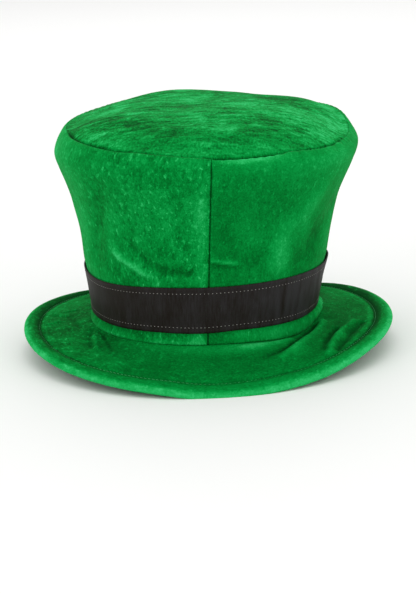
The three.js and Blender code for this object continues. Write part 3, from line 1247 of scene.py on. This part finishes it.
@dataclass
class Ribbon:
    """The satin ribbon round the crown, with a row of machine stitches along each edge."""

    form: HatForm
    pitch: float = 1.6
    ripple: float = 0.7
    ripple_width: float = 8
    stitch_inset: float = 5.0
    seam: Stitches = Stitches(pitch=3.2, length=1.0, width=0.46)
    corner: float = 1.6  # how far the upper edge stands off at the wearer's right

    # How strongly the ribbon ripples, round the hat
    ripples: RoundLine = round_curve(
        {0: 0.6, 25: 0.5, 60: 0.15, 95: 0.2, 120: 0.6, 140: 1.2, 165: 1, 190: 0.7, 270: 0.4}
    )
    stand_off: RoundLine = round_curve(
        {0: 0.2, 90: 0, 150: 0, 172: 0.6, 186: 1, 215: 0.3, 270: 0}
    )

    # Painted gleam on the satin, round the hat: how much lighter or darker its threads are drawn
    gleam: RoundLine = round_curve(
        {0: -0.5, 30: -0.45, 75: -0.2, 100: -0.12, 125: 0.12, 142: 0.35, 156: 0.05, 170: -0.4, 210: -0.3}
    )

    def section(self) -> list[Station]:
        """Works out the ribbon's section, up its face and down its back.

        Returns:
            The stations, in a closed line.
        """
        form = self.form
        round_edge = form.band_cloth / 2
        heights = steps(form.band_rise + round_edge, form.band_top - round_edge, self.pitch)
        face = [Station(form.band_cloth, height, Face.OUTER, height) for height in heights]
        back = [Station(0, height, Face.OUTER, height) for height in heights[::-4]]
        upper = Station(round_edge, form.band_top, Face.OUTER, form.band_top)
        lower = Station(round_edge, form.band_rise, Face.OUTER, form.band_rise)
        return [
            Station(form.crown_radius(s.height) + form.gap + s.radius, *s[1:])
            for s in [*face, upper, *back, lower]
        ]

    def bend(self, turn: float, station: Station) -> Bent:
        """Bends a station of the ribbon.

        Args:
            turn: The turn that it comes to, in radians.
            station: The station.

        Returns:
            Its point, and the painted gleam on its satin.
        """
        form = self.form
        share = (station.height - form.band_rise) / form.band_height
        free = math.sin(math.pi * clamp(share)) ** 0.5
        wave = uneven(turn, station.height * 0.2, self.ripple_width)
        out = max(0.0, self.ripple * self.ripples(turn) * wave * free)
        out += self.corner * self.stand_off(turn) * smoothstep(share, 0.6, 1)
        height = station.height - form.ribbon_dip(turn, station.height)
        # Painted gleam on the satin round the hat, lighter and darker over its ripples
        gleam = self.gleam(turn) + 0.8 * self.ripples(turn) * uneven(turn, station.height * 0.15, 4)
        return Bent(form.place_on_crown(turn, station.radius + out, height), gleam)

    def stitches(self) -> bmesh.types.BMesh:
        """Sews the two rows of stitches.

        Returns:
            All the stitches, in one mesh.
        """
        form = self.form
        bm = bmesh.new()
        for height in (form.band_rise + self.stitch_inset, form.band_top - self.stitch_inset):
            station = Station(form.crown_radius(height) + form.gap + form.band_cloth, height)
            round_hat = FULL_TURN * (station.radius + form.length_extra / 2)
            self.seam.sew(bm, lambda turn: self.bend(turn, station).point, round_hat)
        return bm

    def build(self) -> None:
        """Builds and dresses the ribbon and its stitches."""
        satin = RibbonSatin().material()
        woven = Cloth(self.form, self.section(), self.bend).woven()
        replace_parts(finished(woven, "satin_ribbon", (satin,)), "hat_band")
        thread = SewingThread("grey_thread", "#96938e").material()
        finished(self.stitches(), "ribbon_stitches", (thread,))


@dataclass
class Brim:
    """The brim: two layers of velvet, creased beside the crown, with a padded rim outside its stitches."""

    form: HatForm
    pitch: float = 1.6
    under_pitch: float = 3.0
    waver: float = 0.5
    seam: Stitches = Stitches(pitch=3.4, length=2.9, width=0.55)
    waver_size: float = 24
    crumple: float = 0.6  # small crumples beside the wavering
    crumple_size: float = 9
    row_width: float = 1.3
    row_draw: float = 0.15  # how deep each stitch draws the cloth
    swell: float = 0.25  # how much the padding swells and ebbs
    swell_size: float = 7
    level: float = -0.1
    waver_gleam: float = 0.06
    edge_highlight: float = 0.4  # painted highlight: how much lighter the outermost edge is drawn
    edge_crush: float = 0.1

    # Folds: turns in degrees, and shares of the brim's reach
    folds: tuple[Fold, ...] = (
        Fold(((158, 0.03), (148, 0.04), (139, 0.07), (131, 0.165)), 1.8, -3.4, 0.18, 0.35),
        Fold(((134, 0.13), (123, 0.29), (112, 0.39)), 1.7, -2.6, 0.2, 0.75),
        Fold(((162, 0.1), (148, 0.15), (138, 0.21), (129, 0.32), (119, 0.47)), 3.2, 2.4, 0.1),
        Fold(((134, 0.02), (122, 0.07), (108, 0.09)), 2.8, 1.6, 0.1),
        Fold(((156, 0.355), (149, 0.375), (141, 0.455), (136, 0.567)), 2.0, -2.7, 0.17, 0.6),
        Fold(((166, 0.5), (156, 0.445), (149, 0.465), (142, 0.545), (135, 0.69)), 2.5, 2.4, 0.12),
        Fold(((166, 0.6), (155, 0.57), (144, 0.64), (140, 0.68)), 2.5, -2.4, 0.11),
        Fold(((27, 0.02), (33, 0.07), (39, 0.14), (48, 0.31)), 1.5, -1.8, 0.17, 0.5),
        Fold(((29, 0.17), (35, 0.26), (41, 0.37)), 2.4, 1.5, 0.12),
        Fold(((22, 0.1), (31, 0.24), (38, 0.38)), 2.2, -1.2, 0.1),
        Fold(((3, 0.65), (1, 0.46)), 1.6, 0.9, 0.2),
        Fold(((-12, 0.46), (-15, 0.33)), 1.8, 0.9, 0.2),
        Fold(((-7, 0.6), (-4, 0.33), (14, 0.2)), 2.6, -1.0, 0.12),
        Fold(((205, 0.14), (222, 0.5)), 8, -2.2),
        Fold(((325, 0.16), (310, 0.5)), 8, -2.2),
    )
    crush: RoundLine = round_curve(
        {0: 1.25, 25: 1.15, 50: 0.75, 90: 0.45, 130: 0.5, 170: 0.8, 210: 0.9, 330: 1}
    )
    # Painted light along the rim, painted shade on its inner slope and painted shade in the row of
    # stitches, round the hat
    rim_level: RoundLine = round_curve(
        {
            0: 0.13, 30: 0.1, 90: 0.12, 125: 0.15, 150: 0.2, 172: 0.2, 188: 0.1, 205: -0.05, 270: -0.04,
            340: -0.05,
        }
    )
    rim_shade: RoundLine = round_curve(
        {0: 0.6, 25: 0.4, 60: 0.1, 120: 0.1, 150: 0.5, 170: 1, 210: 1, 270: 0.6, 330: 1}
    )
    row_shade: RoundLine = round_curve(
        {0: 0.45, 35: 0.4, 60: 0.22, 90: 0.08, 120: 0.14, 145: 0.36, 200: 0.5, 270: 0.3, 330: 0.5}
    )
    # Patches of the brim's pile, partly painted light and shade: turn, share of its reach, width, height,
    # shade
    patches: tuple[Patch, ...] = patch_rows(
        (118, 0.06, 28, 3, 0.16), (60, 0.06, 26, 3, 0.06), (38, 0.05, 24, 3, -0.12),
        (30, 0.55, 26, 10, 0.08), (40, 0.3, 12, 8, -0.1), (128, 0.38, 8, 5, 0.14),
        (150, 0.52, 6, 8, 0.12), (168, 0.4, 24, 18, -0.09), (97, 0.09, 54, 8, 0.22),
        (113, 0.13, 26, 7, 0.14), (338, 0.6, 24, 14, 0.16), (206, 0.5, 24, 14, 0.12),
        (8, 0.35, 22, 16, -0.05),
    )

    def section(self) -> list[Station]:
        """Works out the brim's section, from its inner edge out on top and back underneath.

        Returns:
            The stations, in a closed line. A height is a distance from the middle of the cloth.
        """
        form = self.form
        inner = form.base_radius - form.cloth
        outer = form.base_radius + form.brim_reach
        upper = steps(inner, form.rim_start - 2.4, self.pitch)
        upper += steps(form.rim_start - 1.6, form.rim_start + 1.6, 0.8)
        rolled = steps(math.pi * 0.32, 0, 0.16)
        middle = form.rim_start + form.rim_width / 2
        rim = [middle + form.rim_width / 2 * math.cos(angle) for angle in rolled]
        upper += steps(form.rim_start + 2.6, rim[0] - 1, 1.2) + rim[:-1]
        lower = [r for i, r in enumerate(upper) if i % 2 == 0 or r > middle]
        top = [Station(r, self.half_thickness(r), Face.OUTER, r - inner) for r in upper]
        edge = Station(outer, 0, Face.OUTER, outer - inner)
        under = [Station(r, -self.half_thickness(r), Face.OUTER, 2 * outer - r) for r in reversed(lower)]
        return [*top, edge, *under]

    def half_thickness(self, radius: float) -> float:
        """Works out half the brim's thickness.

        Args:
            radius: A radius on the brim.

        Returns:
            The distance from the middle of the cloth to its face.
        """
        form = self.form
        past = (radius - form.rim_start) / form.rim_width
        pinch = form.stitch_pinch / 2
        if past <= 0:
            return pinch + (form.brim_cloth / 2 - pinch) * (1 - hump(past * form.rim_width, 2.4))
        if past < 0.5:
            full = math.sin(math.pi * past) ** 0.62
            return pinch + (form.rim_roll / 2 - pinch) * full
        return form.rim_roll / 2 * math.sqrt(max(0.0, 1 - (2 * past - 1) ** 2))

    def bend(self, turn: float, station: Station) -> Bent:
        """Bends a station of the brim.

        Args:
            turn: The turn that it comes to, in radians.
            station: The station.

        Returns:
            Its point and its pile.
        """
        form = self.form
        radius, upper = station.radius, station.height > 0
        reach = clamp((radius - form.base_radius) / form.brim_reach)
        drop = form.brim_drop * form.rim_line(turn)
        slope_loss = form.brim_reach - math.sqrt(form.brim_reach**2 - drop**2)
        hang = drop * reach * (form.brim_start + (1 - form.brim_start) * reach)
        sag = form.brim_sag * (1 - drop / form.brim_drop) * 4 * reach * (1 - reach)
        seat = form.seat_sag * form.seat_line(turn) * (1 - smoothstep(reach, 0, form.seat_fade))
        stitches = (form.rim_start - form.base_radius) / form.brim_reach
        free = smoothstep(reach, 0, 0.04) * (1 - smoothstep(reach, stitches - 0.06, stitches))
        place = Place(turn, reach, radius, form.brim_reach)
        fold, painted_fold_shading = folded(self.folds, place)
        rumple = self.crumple * self.crush(turn) * uneven(turn, radius, self.crumple_size)
        rumple += uneven(turn, radius, self.waver_size)
        fold = free * (fold + self.waver * rumple)
        from_row = radius - form.rim_start
        row = hump(from_row, self.row_width)
        pull = math.sin(turn * radius / self.seam.pitch * FULL_TURN)
        rim = smoothstep(from_row, 1.5, 5)
        swell = self.swell * rim * uneven(turn, radius, self.swell_size) * (1 - row)
        drawn = self.row_draw * row * (1 + pull)
        offset = station.height + math.copysign(swell - drawn, station.height)
        height = -form.brim_cloth / 2 + offset - hang - sag - seat + fold
        shift = form.crown_shift * (1 - reach)
        point = form.place(turn, radius - reach * slope_loss, height, shift)
        point.z = self.settled(point.z)
        # Painted light and shade: in the patches, on the folds, along the rim and its outer edge, and on
        # its inner slope
        patches = brushed_and_painted_shading(self.patches, place) if upper else 0
        edge = smoothstep(from_row, 7.5, form.rim_width - 0.5)
        inner = self.rim_shade(turn) if upper else 0
        nap_and_painted_shading = self.level + patches + free * (painted_fold_shading + self.waver_gleam * rumple)
        nap_and_painted_shading += rim * self.rim_level(turn) + self.edge_highlight * edge
        nap_and_painted_shading += inner * (0.16 * hump(from_row + 4, 2.4) - 0.28 * hump(from_row - 3.4, 2.8))
        crush = self.crush(turn) + self.edge_crush * edge
        # Painted shade in the row of stitches
        crease = self.row_shade(turn) * hump(from_row, 0.8 + 0.9 * inner)
        return Bent(point, nap_and_painted_shading, crush, crease)

    def settled(self, height: float, soft: float = 0.0004) -> float:
        """Returns a height over the floor with the rim flattened softly where it rests."""
        return (height + math.hypot(height, soft)) / 2

    def stitches(self) -> bmesh.types.BMesh:
        """Sews the row of stitches along the rim.

        Returns:
            All the stitches, in one mesh.
        """
        form = self.form
        bm = bmesh.new()
        station = Station(form.rim_start, self.half_thickness(form.rim_start))
        round_hat = FULL_TURN * (form.rim_start + form.length_extra / 2)
        self.seam.sew(bm, lambda turn: self.bend(turn, station).point, round_hat)
        return bm

    def build(self) -> None:
        """Builds and dresses the brim and its stitches."""
        velvet = CrushedVelvet("crushed_velvet_brim", Lie.ROUND, tone=-0.1, sheen=0.03).material()
        woven = Cloth(self.form, self.section(), self.bend, columns=560).woven()
        brim = finished(woven, "velvet_brim", (velvet,))
        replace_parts(brim, "brim")
        thread = SewingThread("green_thread", "#36a862").material()
        finished(self.stitches(), "rim_stitches", (thread,))


@dataclass
class Studio:
    """A plain pale floor, soft lights and a camera at the photograph's viewing angle."""

    form: HatForm
    target_height: float = 75  # over the brim's seam
    distance: float = 1600
    elevation: float = 13
    roll: float = 2.0
    lens: float = 118.3
    picture: tuple[int, int] = (416, 594)
    target_pixel: tuple[float, float] = (204.9, 223.6)
    sensor: float = 36
    floor_radius: float = 9
    backdrop: float = 0.92

    # The lights: a name, a place in metres, a side in metres and a power in watts
    lights: tuple[tuple[str, tuple[float, float, float], float, float], ...] = (
        ("overhead", (0, 0.3, 1.9), 1.6, 5),
        ("left", (1.5, 1.5, 1.1), 1.2, 5),
        ("right", (-1.5, 1.5, 1.1), 1.2, 3),
        ("front", (0, -2.0, 1.4), 1.4, 5),
    )

    def add_camera(self) -> None:
        """Adds the camera behind the hat, a little over it, and aims it so that the hat is framed."""
        data = bpy.data.cameras.new("camera")
        data.lens = self.lens
        data.sensor_width = self.sensor
        data.clip_end = 50
        camera = placed("camera", data)
        bpy.context.scene.camera = camera
        target = Vector((0, 0, self.form.brim_seam_height + self.target_height)) * MM
        rise = math.radians(self.elevation)
        back = Vector((0, math.cos(rise), math.sin(rise)))
        place = target + back * self.distance * MM
        turned = Matrix.Rotation(-math.radians(self.roll), 3, back)
        right = turned @ Vector((-1, 0, 0))
        up = back.cross(right)
        focal = self.lens / self.sensor * max(self.picture)
        from_middle = Vector(self.target_pixel) - Vector(self.picture) / 2
        back = (back * focal + right * from_middle.x - up * from_middle.y).normalized()
        right = (right - back * right.dot(back)).normalized()
        axes = Matrix((right, back.cross(right), back)).transposed().to_4x4()
        camera.matrix_world = Matrix.Translation(place) @ axes

    def add_light(self, name: str, place: Sequence[float], size: float, power: float) -> None:
        """Adds a soft square light that faces the hat.

        Args:
            name: Its name.
            place: Where it stands, in metres.
            size: Its side, in metres.
            power: Its power in watts.
        """
        data = bpy.data.lights.new(name, "AREA")
        data.size = size
        data.energy = power
        light = placed(name, data)
        light.location = place
        towards = Vector((0, 0, self.form.crown_height * MM / 2)) - Vector(place)
        light.rotation_mode = "QUATERNION"
        light.rotation_quaternion = towards.to_track_quat("-Z", "Y")

    def add_floor(self) -> None:
        """Adds the floor."""
        bm = bmesh.new()
        bmesh.ops.create_circle(bm, cap_ends=True, segments=96, radius=self.floor_radius)
        placed("floor", to_mesh(bm, "floor", (Matt("pale_floor").material(),)))

    def build(self) -> None:
        """Sets up the studio."""
        scene = bpy.context.scene
        scene.view_settings.view_transform = "Standard"
        scene.view_settings.look = "None"
        world = bpy.data.worlds.new("studio")
        world.use_nodes = True
        backdrop = world.node_tree.nodes["Background"]
        backdrop.inputs["Color"].default_value = linear("#ffffff")
        backdrop.inputs["Strength"].default_value = self.backdrop
        scene.world = world
        for name, place, size, power in self.lights:
            self.add_light(name, place, size, power)
        self.add_floor()


def main() -> None:
    """Builds the hat's looks in order, and writes down how large they came out."""
    logging.basicConfig(level=logging.INFO, format="%(message)s")
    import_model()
    form = HatForm()
    studio = Studio(form)
    studio.add_camera()
    for part in (Crown(form), Ribbon(form), Brim(form), studio):
        LOG.info("building %s", type(part).__name__)
        part.build()


if __name__ == "__main__":
    main()
